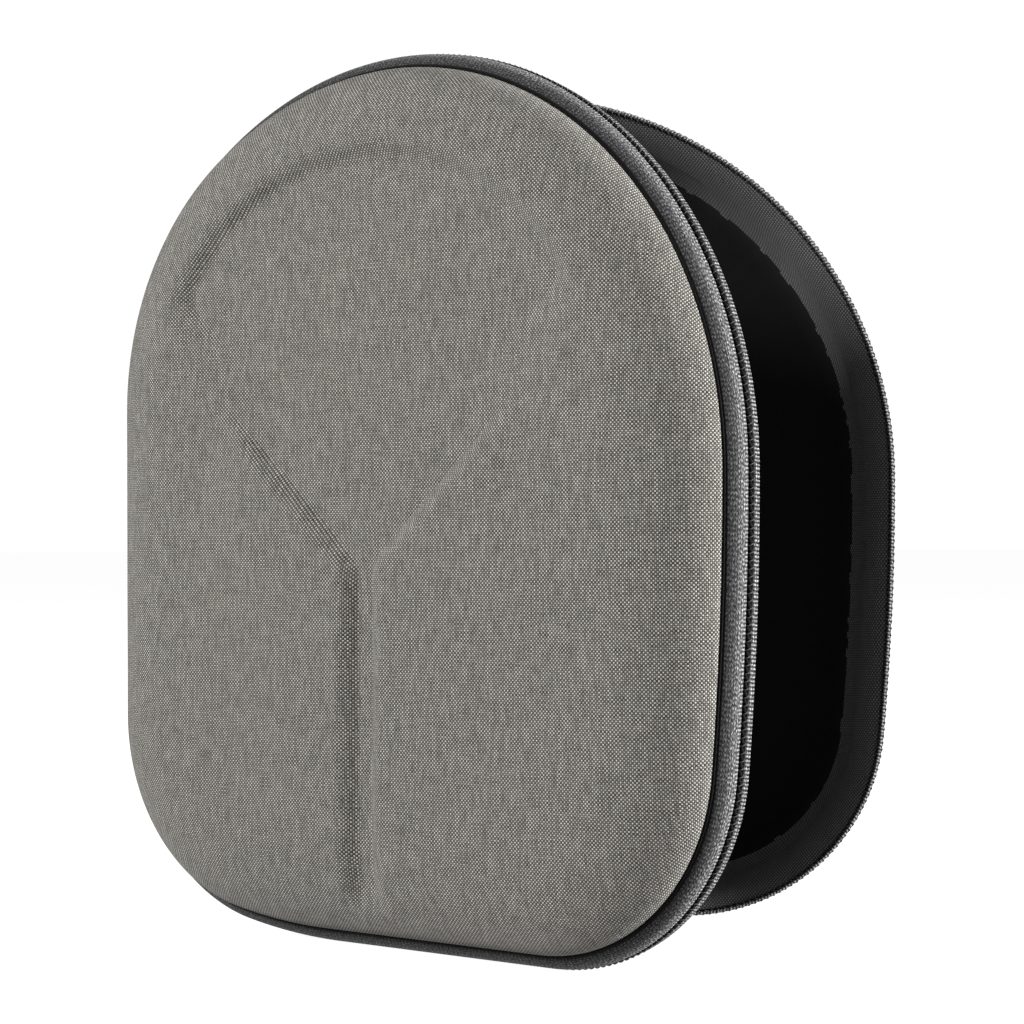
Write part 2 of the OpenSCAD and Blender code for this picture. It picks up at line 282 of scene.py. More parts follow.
def lining_mat():
    n = Nodes("lining_fabric")
    u, v = n.uv()
    over, dome, ta, tb = weave(n, u, v, 0.62, 0.72)
    col = n.mix(over, n.mix(tb, rgb(0.045, 0.045, 0.0465), rgb(0.085, 0.085, 0.088)), n.mix(ta, rgb(0.17, 0.17, 0.174), rgb(0.31, 0.31, 0.316)))
    # painted shade: base colour darker in the gaps between threads, following the dome height
    n.put(n.b.inputs["Base Color"], n.scale(col, n.math("MULTIPLY_ADD", dome, 0.8, 0.2)))
    n.set(Roughness=0.72, Specular_IOR_Level=0.25, Sheen_Weight=0.06, Sheen_Roughness=0.45)
    n.bump(dome, 0.7, 0.00015)
    return n.m


def floor_cloth_mat():
    """Near-black cloth on the floor of the back lining, far darker than its wall, with a faint mottle."""
    n = Nodes("lining_floor")
    u, v = n.uv()
    g = n.noise(n.xyz(u, v), 1.6, 3.0, 0.7)
    n.put(n.b.inputs["Base Color"], n.mix(g, rgb(0.0025, 0.0025, 0.0028), rgb(0.009, 0.009, 0.0095)))
    n.set(Roughness=0.95, Specular_IOR_Level=0.08, Sheen_Weight=0.04, Sheen_Roughness=0.6)
    n.bump(g, 0.4, 0.0003)
    return n.m


PITCH = 2.0   # one coil turn and one chain stitch


def tape_mat():
    n = Nodes("zip_tape")
    u, v = n.uv()           # u along the rim, v across the tape from its folded edge, both mm
    # ribs across the tape at half the stitch pitch
    rib01 = n.math("MULTIPLY_ADD", n.math("SINE", n.math("MULTIPLY", u, 2 * math.pi / (PITCH / 2))), 0.5, 0.5)
    # columns of knit loops: every column a chevron with a phase of its own
    cv = n.math("DIVIDE", v, 0.66)
    ci = n.math("FLOOR", cv)
    cx = n.math("ABSOLUTE", n.math("SINE", n.math("MULTIPLY", cv, math.pi)))
    own = n.white(n.xyz(ci, 3.0, 1.0))
    lean = n.math("ABSOLUTE", n.math("SUBTRACT", n.math("FRACT", cv), 0.5))
    lu = n.math("ADD", n.math("DIVIDE", u, 1.25), n.math("ADD", own, lean))
    loop = n.math("MULTIPLY_ADD", n.math("SINE", n.math("MULTIPLY", lu, 2 * math.pi)), 0.5, 0.5)
    dash = n.noise(n.xyz(n.math("MULTIPLY", u, 0.75), n.math("MULTIPLY", ci, 7.31), 5.0), 1.0, 1.0)
    knit = n.math("MULTIPLY", n.math("POWER", cx, 0.5), n.math("MULTIPLY", n.math("MULTIPLY_ADD", loop, 0.8, 0.2), n.math("MULTIPLY_ADD", dash, 1.3, 0.25)))
    ribs = n.math("MULTIPLY", rib01, n.math("MULTIPLY_ADD", cx, 0.5, 0.5))
    tex = n.math("ADD", n.math("MULTIPLY", knit, n.step(v, 7.6, 8.3)), n.math("MULTIPLY", ribs, n.math("SUBTRACT", 1.0, n.step(v, 7.6, 8.3))))
    jit = n.noise(n.xyz(n.math("MULTIPLY", u, 1.1), n.math("MULTIPLY", v, 2.4)), 1.0, 2.0, 0.65)
    flecks = n.step(jit, 0.40, 0.60)
    W = 15.0
    # colour bands across the tape; from 12.6 mm on, where the tape runs into the groove and round its inner side, near
    # black: painted shade in the groove
    bands_and_groove_shade = n.ramp(n.math("DIVIDE", v, W), [
        (0.0, (0.14, 0.14, 0.14)), (0.9 / W, (0.30, 0.30, 0.298)), (2.6 / W, (0.30, 0.30, 0.298)),
        (2.95 / W, (0.006, 0.006, 0.006)), (6.25 / W, (0.006, 0.006, 0.006)),
        (6.65 / W, (0.27, 0.27, 0.27)), (8.9 / W, (0.26, 0.26, 0.26)), (10.0 / W, (0.115, 0.115, 0.118)),
        (12.0 / W, (0.07, 0.07, 0.073)), (12.35 / W, (0.05, 0.05, 0.052)), (12.6 / W, (0.003, 0.003, 0.003)), (1.0, (0.002, 0.002, 0.002))])
    # painted shade: near-black pinholes, and notches less dark than them, in the gaps between the lobes of the folded
    # edge
    ph = n.math("FRACT", n.math("DIVIDE", u, PITCH))
    deep = n.step(n.math("ABSOLUTE", n.math("SUBTRACT", ph, 0.5)), 0.07, 0.15)
    half = n.step(n.math("ABSOLUTE", n.math("SUBTRACT", n.math("FRACT", n.math("ADD", ph, 0.5)), 0.5)), 0.05, 0.15)
    inhole = n.math("MULTIPLY", n.step(v, 0.7, 1.0), n.math("SUBTRACT", 1.0, n.step(v, 1.9, 2.3)))
    pinhole_shade = n.math("SUBTRACT", 1.0, n.math("MULTIPLY", inhole, n.math("SUBTRACT", 1.0, deep)))
    notch = n.math("SUBTRACT", 1.0, n.math("MULTIPLY", n.math("MULTIPLY", inhole, 0.7), n.math("SUBTRACT", 1.0, half)))
    k = n.math("MULTIPLY", n.math("MULTIPLY_ADD", tex, 1.7, 0.10), n.math("MULTIPLY_ADD", flecks, 1.05, 0.27))
    k = n.math("MULTIPLY", k, n.math("MULTIPLY", n.math("MAXIMUM", pinhole_shade, 0.03), notch))
    n.put(n.b.inputs["Base Color"], n.scale(bands_and_groove_shade, k))
    n.set(Roughness=0.8, Specular_IOR_Level=0.2, Sheen_Weight=0.10, Sheen_Roughness=0.5)
    n.bump(n.math("ADD", tex, n.math("MULTIPLY", flecks, 0.3)), 0.8, 0.00022)
    return n.m


def thread_mat(name, lo, hi, rough=0.55):
    n = Nodes(name)
    u, v = n.uv()
    ply = n.math("SINE", n.math("ADD", n.math("MULTIPLY", u, 2 * math.pi / 0.55), n.math("MULTIPLY", v, 2 * math.pi)))
    g = n.math("MULTIPLY_ADD", ply, 0.5, 0.5)
    g2 = n.math("MULTIPLY", g, n.noise(n.xyz(n.math("MULTIPLY", u, 3.0), n.math("MULTIPLY", v, 9.0)), 1.0, 2.0, 0.6))
    n.put(n.b.inputs["Base Color"], n.mix(g2, rgb(*lo), rgb(*hi)))
    n.set(Roughness=rough, Specular_IOR_Level=0.10)
    n.bump(g, 0.5, 0.0001)
    return n.m


def nylon_mat():
    n = Nodes("coil_nylon")
    u, v = n.uv()
    g = n.noise(n.xyz(u, n.math("MULTIPLY", v, 4.0)), 2.0, 2.0)
    n.put(n.b.inputs["Base Color"], n.mix(g, rgb(0.012, 0.012, 0.0125), rgb(0.035, 0.035, 0.036)))
    n.set(Roughness=0.38, Specular_IOR_Level=0.5)
    n.bump(g, 0.15, 0.00005)
    return n.m


def foam_mat():
    n = Nodes("foam")
    tc = n.t.nodes.new("ShaderNodeTexCoord")
    g = n.noise(tc.outputs["Object"], 1400.0, 2.0, 0.6)
    n.put(n.b.inputs["Base Color"], n.mix(g, rgb(0.010, 0.010, 0.0105), rgb(0.028, 0.028, 0.029)))
    n.set(Roughness=0.9, Specular_IOR_Level=0.2)
    n.bump(g, 0.4, 0.0002)
    return n.m


def metal_mat(name, col, rough, metallic):
    n = Nodes(name)
    tc = n.t.nodes.new("ShaderNodeTexCoord")
    g = n.noise(tc.outputs["Object"], 900.0, 3.0, 0.6)
    w = n.noise(tc.outputs["Object"], 220.0, 2.0, 0.5)
    ge = n.t.nodes.new("ShaderNodeNewGeometry")
    edge = n.step(ge.outputs["Pointiness"], 0.54, 0.62)
    base = n.mix(w, rgb(*[c * 0.75 for c in col]), rgb(*[c * 1.25 for c in col]))
    n.put(n.b.inputs["Base Color"], n.mix(n.math("MULTIPLY", edge, 0.5), base, rgb(*[min(1, c * 3 + 0.06) for c in col])))
    n.put(n.b.inputs["Roughness"], n.math("MULTIPLY_ADD", g, 0.18, rough - 0.09))
    n.set(Metallic=metallic)
    n.bump(g, 0.12, 0.00008)
    return n.m


SHELL_WARP_LO, SHELL_WARP_HI = (0.36, 0.345, 0.312), (0.80, 0.77, 0.70)
SHELL_WEFT_LO, SHELL_WEFT_HI = (0.045, 0.043, 0.039), (0.21, 0.20, 0.18)

M = {
    "shell": melange(), "lining": lining_mat(), "floor": floor_cloth_mat(), "tape": tape_mat(),
    "coil": nylon_mat(), "foam": foam_mat(),
    "stitch": thread_mat("stitch_thread", (0.002, 0.002, 0.002), (0.010, 0.010, 0.010), 0.7),
    "bar_thread_and_highlight": thread_mat("tape_thread_and_highlight", (0.07, 0.07, 0.07), (0.17, 0.17, 0.168), 0.6),
    "seam": thread_mat("seam_thread", (0.002, 0.002, 0.002), (0.010, 0.010, 0.010), 0.7),
    "slider": metal_mat("slider_metal", (0.055, 0.055, 0.058), 0.34, 0.85),
    "pin": metal_mat("pin_metal", (0.42, 0.42, 0.43), 0.28, 1.0),
    "stop": metal_mat("stop_metal", (0.075, 0.075, 0.078), 0.4, 0.8),
}

# ------------------------------------------------------------- mesh making
def make(name, verts, faces, uv, mats, face_mat=None, smooth_faces=True, fix=True):
    me = bpy.data.meshes.new(name)
    me.from_pydata(np.asarray(verts, float).tolist(), [], [list(map(int, f)) for f in faces])
    for m in mats:
        me.materials.append(m)
    if face_mat is not None:
        me.polygons.foreach_set("material_index", np.asarray(face_mat, np.int32))
    me.polygons.foreach_set("use_smooth", np.full(len(me.polygons), smooth_faces))
    if fix:
        bm = bmesh.new()
        bm.from_mesh(me)
        bmesh.ops.recalc_face_normals(bm, faces=bm.faces)
        bm.to_mesh(me)
        bm.free()
    vi = np.zeros(len(me.loops), np.int32)
    me.loops.foreach_get("vertex_index", vi)
    lay = me.uv_layers.new(name="UVMap")
    lay.data.foreach_set("uv", np.asarray(uv, np.float32)[vi].ravel())
    ob = bpy.data.objects.new(name, me)
    scene.collection.objects.link(ob)
    return ob


def grid_faces(base, rows, n, closed):
    m = n if closed else n - 1
    i = np.arange(m)
    k = (i + 1) % n
    out = []
    for r in range(rows - 1):
        a, b = base + r * n, base + (r + 1) * n
        out.append(np.stack([a + i, a + k, b + k, b + i], -1))
    return np.concatenate(out)


def superwall(depth, w, k, n, phis, e=4.15, t=10.6):
    q = 2.0 / n
    c, s = np.cos(phis) ** q, np.sin(phis) ** q
    return np.stack([e + w - (w - k) * c, t + (depth - t - k) * s], -1)


CENTRE = np.array([0.9, 120.0])


def surface(prof, rings, count, bulge=None, deep=None, uv_out=True):
    """Rings of closed-case points from a wall profile and then in to the centre. Returns (points, uvs, centre point)."""
    s = np.arange(count) * LEN / count
    p, nrm = outline(s)
    pts, uvs = [], []
    arcs = np.concatenate([[0], np.cumsum(np.hypot(*np.diff(prof, axis=0).T))])
    edge_in = prof[-1, 0]
    for j, (a, d) in enumerate(prof):
        q = p - nrm * a
        pts.append(np.stack([q[:, 0], np.full(count, d), q[:, 1]], -1))
        uvs.append(p - nrm * (edge_in - (arcs[-1] - arcs[j])))
    q0 = p - nrm * edge_in
    for t in rings:
        q = CENTRE + (q0 - CENTRE) * t
        pts.append(np.stack([q[:, 0], np.full(count, prof[-1, 1]), q[:, 1]], -1))
        uvs.append(q)
    pts, uvs = np.array(pts), np.array(uvs)
    c = np.array([[CENTRE[0], prof[-1, 1], CENTRE[1]]])
    if deep is not None:
        pts[..., 1] += deep(pts, s)
        c[:, 1] += deep(c[None], None)[0]
    return pts, uvs, c


def double_shell(name, front, A, B, mats, mat_of=None):
    """Closed thin shell between two such surfaces of the same ring count."""
    (pa, ua, ca), (pb, ub, cb) = A, B
    ra, n = pa.shape[:2]
    rb = pb.shape[0]
    base = ra * n
    v = np.concatenate([pa.reshape(-1, 3), pb.reshape(-1, 3), ca, cb])
    uv = np.concatenate([ua.reshape(-1, 2), ub.reshape(-1, 2), CENTRE[None], CENTRE[None]])
    i = np.arange(n)
    k = (i + 1) % n
    quads = [grid_faces(0, ra, n, True), grid_faces(base, rb, n, True), np.stack([i, k, base + k, base + i], -1)]
    ic, jc = base + rb * n, base + rb * n + 1
    tris = np.concatenate([np.stack([(ra - 1) * n + i, (ra - 1) * n + k, np.full(n, ic)], -1),
                           np.stack([base + (rb - 1) * n + i, base + (rb - 1) * n + k, np.full(n, jc)], -1)])
    faces = [q for g in quads for q in g] + list(tris)
    fm = None
    if mat_of is not None:
        cen = np.array([v[f].mean(0) for f in faces])
        fm = mat_of(cen, np.array([f[0] for f in faces]))
    w = place(front, v[:, 0], v[:, 1], v[:, 2])
    return make(name, w, faces, uv, mats, fm)


# embossed panel of the front face: 1 in the recess, 0 outside it
XA = 0.9 - 2.0


def press(t):
    """Wall of a pressed recess: rounded shoulder at 0, crisp foot at 1."""
    t = np.clip(t, 0, 1)
    return 0.25 * t * t * (3 - 2 * t) + 0.75 * t ** 2.3


def panel(x, z):
    ax = np.abs(x - XA)
    rho = np.sqrt((ax / 78.9) ** 2 + ((z - 149.8) / 67.5) ** 2)
    r = np.hypot(ax, z - 149.8)
    sd = (1 - rho) * r / np.maximum(rho, 1e-3)
    low = 1 - smooth((z - 150) / 34)
    w_e = 6.2 + 44 * low
    sd = np.where(z < 149.8, 78.9 - ax, sd)
    head = press((sd + 4.6) / w_e) * (1 - low) + smooth((sd + 4.6) / w_e) * low
    sv = (z - (130 + (ax - 32.1) / 1.14)) * 0.752
    far = smooth((ax - 36) / 26)
    vee = press((sv + 4.4) / 6.0) * (1 - far) + smooth((z - 98) / 58) * far
    head = head * vee
    chan = press((9.0 - ax) / 6.4) * smooth((z - 10.0) / 9.0)
    chan = chan * smooth((150 - z) / 20)
    return 1 - (1 - head) * (1 - chan)


def front_emboss(depth_k):
    def f(pts, s):
        x, d, z = pts[..., 0], pts[..., 1], pts[..., 2]
        frac = smooth((d - 10.6) / (24.1 - 10.6 - depth_k) * 1.6 - 0.6)
        return -3.5 * panel(x, z) * frac
    return f


def hem(k):
    """Start of the outer cloth: turned in at the groove."""
    return np.array([[5.3, 10.65], [4.75, 10.72], [4.42, 10.95], [4.28, 11.35]])


FRONT_D, FRONT_W = 24.1, 27.15
BACK_W = 12.6
N1 = 540

ph = np.radians(np.concatenate([[6.5, 9, 12], np.linspace(15, 90, 20)]))
prof_out = np.concatenate([hem(0), superwall(FRONT_D, FRONT_W, 0, 1.95, ph)])
ph_in = np.radians(np.linspace(8, 90, 9))
prof_in = np.concatenate([[[5.3, 11.2]], superwall(FRONT_D, FRONT_W, 0.65, 1.95, ph_in)])
A = surface(prof_out, np.linspace(1, 0, 100)[1:-1], N1, deep=front_emboss(0))
B = surface(prof_in, np.linspace(1, 0, 48)[1:-1], N1, deep=front_emboss(0.65))
front_cover = double_shell("front_cover_cloth", True, A, B, [M["shell"]])
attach(front_cover, "front_half"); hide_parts("front_cover")

phb = np.radians(np.concatenate([[6.5, 9, 12], np.linspace(15, 90, 18)]))
prof_out = np.concatenate([hem(0), superwall(BACK_D, BACK_W, 0, 2.1, phb)])
prof_in = np.concatenate([[[5.3, 11.2]], superwall(BACK_D, BACK_W, 0.65, 2.1, ph_in)])


def back_soft(pts, s):
    x, d, z = pts[..., 0], pts[..., 1], pts[..., 2]
    # the moulded face sinks a little between its edges
    r = np.clip(np.hypot((x - 3) / 96, (z - 122) / 108), 0, 1)
    return -0.35 * (1 - r ** 2) * smooth((d - 25) / 8)


A = surface(prof_out, np.linspace(1, 0, 41)[1:-1], N1, deep=back_soft)
B = surface(prof_in, np.linspace(1, 0, 20)[1:-1], N1, deep=back_soft)
back_cover = double_shell("back_cover_cloth", False, A, B, [M["shell"]])
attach(back_cover, "back_half"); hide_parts("back_cover")

# foam core between cloth and lining
def notch(f):
    """Room in the front rim for the slider and its pull tab."""
    def g(pts, s):
        x, d, z = pts[..., 0], pts[..., 1], pts[..., 2]
        w = smooth((z - 47) / 6) * smooth((109 - z) / 6) * smooth((XL + 14 - x) / 6)
        return f(pts, s) + 4.8 * np.clip(1 - d / 9, 0, 1) * w
    return g


def core(name, front, depth, w, node, body, emb):
    pa = np.concatenate([[[1.75, 2.6], [1.62, 3.6], [1.62, 5.6], [2.15, 7.8], [3.2, 9.25], [4.9, 10.0], [4.95, 11.3]],
                         superwall(depth, w, 1.2, 1.95 if front else 2.1, np.radians(np.linspace(10, 90, 12)))])
    pb = np.concatenate([[[2.5, 3.15], [4.1, 4.6], [5.4, 7.0]],
                         superwall(depth, w, 3.0, 1.95 if front else 2.1, np.radians(np.linspace(10, 90, 12)))])
    d = notch(front_emboss(1.5)) if emb else back_soft
    m, c = (72, 480) if front else (24, 240)
    A = surface(pa, np.linspace(1, 0, m)[1:-1], c, deep=d)
    B = surface(pb, np.linspace(1, 0, m)[1:-1], c, deep=d)
    o = double_shell(name, front, A, B, [M["foam"]])
    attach(o, body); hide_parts(node)
    return o


core("front_foam", True, FRONT_D, FRONT_W, "front_core", "front_half", True)
core("back_foam", False, BACK_D, BACK_W, "back_core", "back_half", False)

# lining: gathers where the wall turns into the floor
PH_R = [(rng.uniform(0, 6.283), k) for k in (31, 53, 74, 97, 118, 141)]


def gathers(depth, front, emb):
    def f(pts, s):
        x, d, z = pts[..., 0], pts[..., 1], pts[..., 2]
        if s is None:
            return emb(pts, s) if emb is not None else np.zeros(pts.shape[:-1])
        t = (d - 6) / (depth - 6 - 4.2)
        win = smooth((t - 0.25) / 0.45) * (1 - 0.55 * smooth((t - 0.9) / 0.1))
        ang = s / LEN * 2 * math.pi
        g = sum(np.sin(ang * k + p) * (1.0 if k < 80 else 0.7) for p, k in PH_R) / 3.0
        slow = 0.5 + 0.5 * np.sin(ang * 7 + 1.3) * np.sin(ang * 3 + 0.4)
        # fade on the flat floor, away from the wall
        q, _ = outline(s)
        r = np.hypot(x - CENTRE[0], z - CENTRE[1]) / np.hypot(q[:, 0] - CENTRE[0], q[:, 1] - CENTRE[1])
        win = win * smooth((r - 0.72) / 0.16)
        out = -0.28 * g * (0.35 + 0.65 * slow) * win
        return out + (emb(pts, s) if emb is not None else 0)
    return f


def lining(name, front, depth, w, node, body, emb):
    n = 600 if front else 900
    q = 1.95 if front else 2.1
    pa = np.concatenate([[[1.78, 1.55], [2.0, 1.72], [2.5, 2.15], [3.2, 2.75], [4.3, 3.8], [5.2, 5.1], [6.1, 6.7], [7.0, 8.6]],
                         superwall(depth, w, 4.2, q, np.radians(np.concatenate([[6, 9, 12, 16], np.linspace(20, 90, 20)])))])
    pb = np.concatenate([[[1.72, 2.0], [2.6, 2.85], [4.0, 4.2], [5.6, 6.9]],
                         superwall(depth, w, 3.75, q, np.radians(np.linspace(11, 90, 12)))])
    g = gathers(depth, front, emb)
    g = notch(g) if front else g
    A = surface(pa, np.linspace(1, 0, 60 if front else 34)[1:-1], n, deep=g)
    B = surface(pb, np.linspace(1, 0, 50 if front else 16)[1:-1], n, deep=g)
    o = double_shell(name, front, A, B, [M["lining"], M["floor"]],
                     (lambda c, f0: (c[:, 1] > depth - 4.2 - 3.4).astype(int)) if not front else None)
    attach(o, body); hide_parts(node)
    return o


lining("front_lining_cloth", True, FRONT_D, FRONT_W, "front_lining", "front_half", front_emboss(4.2))
lining("back_lining_cloth", False, BACK_D, BACK_W, "back_lining", "back_half", back_soft)

# ------------------------------------------------------------- zip: tape, coil, stitches
TAPE_OUT = np.array([[1.25, 0.34], [0.95, 0.24], [0.64, 0.34], [0.44, 0.62], [0.36, 1.0], [0.38, 1.5], [0.46, 2.0], [0.60, 2.4], [0.88, 2.72], [1.0, 3.3],
                     [1.02, 4.2], [0.96, 5.1], [0.66, 5.55], [0.30, 5.82], [0.13, 6.2], [0.14, 6.6], [0.38, 7.4], [0.85, 8.2], [1.5, 9.0], [2.3, 9.7],
                     [3.1, 10.16], [3.9, 10.44], [4.5, 10.56], [4.95, 10.58]])
TAPE_IN = np.array([[4.85, 9.95], [3.1, 9.2], [2.05, 7.8], [1.5, 5.6], [1.45, 3.6], [1.5, 2.3], [1.46, 1.3]])
_arc = np.concatenate([[0], np.cumsum(np.hypot(*np.diff(TAPE_OUT, axis=0).T))])
V_IN = np.concatenate([_arc, _arc[-1] + 0.5 + np.cumsum(np.hypot(*np.diff(np.concatenate([TAPE_OUT[-1:], TAPE_IN]), axis=0).T))])
SEC = np.concatenate([TAPE_OUT, TAPE_IN])


def s_at(z):
    """Distance along the outline of a height on the straight hinge side, or just round its lower corner."""
    if z >= bot_z:
        return LEN - (SPINE_HI - z)
    a = math.degrees(math.asin((bot_z - z) / CL))
    return LEN - (SPINE_HI - bot_z) - rad(a) * CL


def sweep(sec, s, u, front, share=1.0, wobble=None):
    """Sections (M,2) at distances s: row-frame points (len(s), M, 3)."""
    p, n = outline(s)
    sec = np.broadcast_to(sec, (len(s), *sec.shape[-2:])) if sec.ndim == 2 else sec
    q = p[:, None, :] - n[:, None, :] * sec[..., :1]
    sh = share if np.isscalar(share) else share[:, None]
    return place(front, q[..., 0], sec[..., 1], q[..., 1], sh)


def tape(name, front, s0, s1, share=None):
    s = np.linspace(s0, s1, max(8, int((s1 - s0) / 0.25)))
    sec = np.repeat(SEC[None], len(s), 0).copy()
    # lobes of the folded edge, pushed out by the coil behind it
    lobe = np.abs(np.sin(math.pi * s / (PITCH / 2)))
    deep = np.maximum(0, np.cos(2 * math.pi * (s / PITCH - 0.5))) ** 6
    edge = np.exp(-((_arc - 1.45) / 0.70) ** 2)
    push = (0.08 * lobe[:, None] - 0.12 * deep[:, None]) * edge
    sec[:, :len(_arc), 0] -= push
    sec[:, :len(_arc), 1] += 0
    # small teeth where the ribs meet the stitch channel
    teeth = np.exp(-((_arc - 7.0) / 0.40) ** 2) * (0.10 * np.sin(2 * math.pi * s / (PITCH / 2)))[:, None]
    sec[:, :len(_arc), 0] -= teeth
    sh = np.ones(len(s)) if share is None else share(outline(s)[0][:, 1])
    v = sweep(sec, s, None, front, sh)
    n, m = v.shape[:2]
    faces = []
    i = np.arange(m)
    k = (i + 1) % m
    for r in range(n - 1):
        a, b = r * m, (r + 1) * m
        faces.append(np.stack([a + i, a + k, b + k, b + i], -1))
    faces = [f for g in faces for f in g]
    mo, mi = len(TAPE_OUT), len(TAPE_IN)
    for base in (0, (n - 1) * m):
        # strip the section's end shut between its outer and inner lines
        ia = [base + j for j in range(mo)]
        ib = [base + m - 1 - int(round(j * (mi - 1) / (mo - 1))) for j in range(mo)]
        for j in range(mo - 1):
            f = [ia[j], ia[j + 1], ib[j + 1], ib[j]]
            f = list(dict.fromkeys(f))
            if len(f) > 2:
                faces.append(f)
    uv = np.stack([np.repeat(s[:, None], m, 1), np.repeat(V_IN[None], n, 0)], -1)
    return make(name, v.reshape(-1, 3), faces, uv.reshape(-1, 2), [M["tape"]])


def tube(path, radius, sides, ulen, twist=0.0):
    """Vertices, faces, uv of a closed tube along points (metres)."""
    path = np.asarray(path, float)
    n = len(path)
    t = np.gradient(path, axis=0)
    t /= np.linalg.norm(t, axis=1, keepdims=True)
    ref = np.array([0.0, 1.0, 0.0])
    a = np.cross(t, ref)
    bad = np.linalg.norm(a, axis=1) < 0.2
    a[bad] = np.cross(t[bad], np.array([1.0, 0.3, 0.2]))
    a /= np.linalg.norm(a, axis=1, keepdims=True)
    b = np.cross(t, a)
    r = np.broadcast_to(radius, (n,))
    th = np.arange(sides) * 2 * math.pi / sides
    v = path[:, None] + (a[:, None] * np.cos(th)[None, :, None] + b[:, None] * np.sin(th)[None, :, None]) * r[:, None, None]
    faces = list(grid_faces(0, n, sides, True)) + [list(range(sides)), list(range((n - 1) * sides, n * sides))]
    uv = np.stack([np.repeat(np.linspace(0, ulen, n)[:, None], sides, 1), np.repeat((np.arange(sides) / sides)[None], n, 0)], -1)
    return v.reshape(-1, 3), faces, uv.reshape(-1, 2)


def join(parts):
    v, f, u, m, base = [], [], [], [], 0
    for (pv, pf, pu), mi in parts:
        v.append(pv); u.append(pu)
        f += [[int(x) + base for x in q] for q in pf]
        m += [mi] * len(pf)
        base += len(pv)
    return np.concatenate(v), f, np.concatenate(u), m


def chain(name, front, s0, s1, share=None):
    """Two-ply lock stitch lying in the tape's channel, crossed by a pale tape thread at every turn; the pale crossings
    also stand in for the highlights on the twisted stitch (painted highlight).
    """
    s = np.arange(s0, s1, 0.34)
    sh = np.ones(len(s)) if share is None else share(outline(s)[0][:, 1])
    parts = []
    for k in (0, 1):
        a = 2 * math.pi * s / (2 * PITCH) + k * math.pi
        sec = np.stack([0.55 - 0.20 * np.sin(a), 4.15 + 0.52 * np.cos(a)], -1)[:, None, :]
        path = sweep(sec, s, None, front, sh)[:, 0]
        parts.append((tube(path, 0.00052, 7, s1 - s0), 0))
    # pale crossings at every turn: a tape thread, its pale colour also a painted highlight on the twisted stitch
    for c in np.arange(math.ceil(s0 / PITCH) + 0.5, s1 / PITCH - 0.5) * PITCH:
        t = np.linspace(-1, 1, 7)
        ss = c + 0.50 * t
        sec = np.stack([-0.20 + 0.85 * t ** 2, 4.15 + 1.25 * t], -1)[:, None, :]
        sh1 = 1.0 if share is None else share(outline(ss)[0][:, 1])
        path = sweep(sec, ss, None, front, sh1 if share is None else sh1)[:, 0]
        r = 0.00015 * np.sqrt(np.clip(1.05 - t ** 2, 0.05, 1))
        parts.append((tube(path, r, 5, 1.6), 1))
    v, f, u, m = join(parts)
    return make(name, v, f, u, [M["stitch"], M["bar_thread_and_highlight"]], m, fix=False)


def coil(name, front, s0, s1, share=None):
    n = int((s1 - s0) / PITCH * 12)
    s = np.linspace(s0, s1, n)
    a = 2 * math.pi * s / PITCH
    # each turn bows towards the closing plane as a tooth head
    sec = np.stack([1.42 + 0.50 * np.sin(a), 1.02 - 0.42 * np.cos(a) - 0.08 * np.cos(2 * a)], -1)[:, None, :]
    sh = np.ones(n) if share is None else share(outline(s)[0][:, 1])
    path = sweep(sec, s, None, front, sh)[:, 0]
    v, f, u = tube(path, 0.00022, 6, s1 - s0)
    return make(name, v, f, u, [M["coil"]], fix=False)


def cord_ring(name, front, s0, s1, share=None):
    s = np.arange(s0, s1, 0.5)
    sec = np.stack([4.06 + 0.05 * np.sin(s * 3.1), 10.72 + 0.06 * np.cos(s * 3.1)], -1)[:, None, :]
    sh = np.ones(len(s)) if share is None else share(outline(s)[0][:, 1])
    path = sweep(sec, s, None, front, sh)[:, 0]
    v, f, u = tube(path, 0.00036, 8, s1 - s0)
    return make(name, v, f, u, [M["seam"]], fix=False)


S_FRONT = s_at(51.8)
S_BACK = s_at(SPINE_LO)
for half, front, body, s1, sc in (("front", True, "front_half", S_FRONT, S_FRONT), ("back", False, "back_half", S_BACK, s_at(SLIDER_HI + 0.4))):
    for kind, fn, node, slot, a, b in (
            ("zip_tape_weave", tape, "zip_tape", "zip_tape", 0.0, s1),
            ("zip_chain", coil, "coil", "coil_nylon", top_z - SPINE_HI, sc),
            ("zip_chain_stitch", chain, "chain_stitch", "thread", 1.0, s1 - 0.5),
            ("groove_thread", cord_ring, "seam_thread", "thread", 0.0, s1)):
        o = fn(f"{half}_{kind}", front, a, b)
        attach(o, body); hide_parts(f"{half}_{node}")

# front tape where it bends over to the slider and away again to the hinge
SLIDER_REACH = SLIDER_LO - 12.5   # how low the slider runs


def low_share(z):
    return smooth((SLIDER_REACH - z) / (SLIDER_REACH - 51.8))


def high_share(z):
    return smooth((z - SLIDER_HI) / (SPINE_LO - SLIDER_HI))


Z_MID = (SLIDER_LO + SLIDER_HI) / 2
for tag, share, z0, z1, start, end in (
        ("low", low_share, 51.8, Z_MID, SLIDER_REACH, 51.8), ("high", high_share, Z_MID, SPINE_LO, SLIDER_HI, SPINE_LO)):
    for kind, fn, slot, a, b in (("zip_tape", tape, "zip_tape", s_at(z0), s_at(z1)),
                                 ("zip_chain", coil, "coil_nylon", s_at(z0), s_at(z1) if tag == "low" else s_at(SLIDER_HI + 3)),
                                 ("zip_stitch", chain, "thread", s_at(z0), s_at(z1)),
                                 ("groove", cord_ring, "thread", s_at(z0), s_at(z1))):
        o = fn(f"front_{tag}_{kind}", True, a, b, share)
        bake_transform(o)

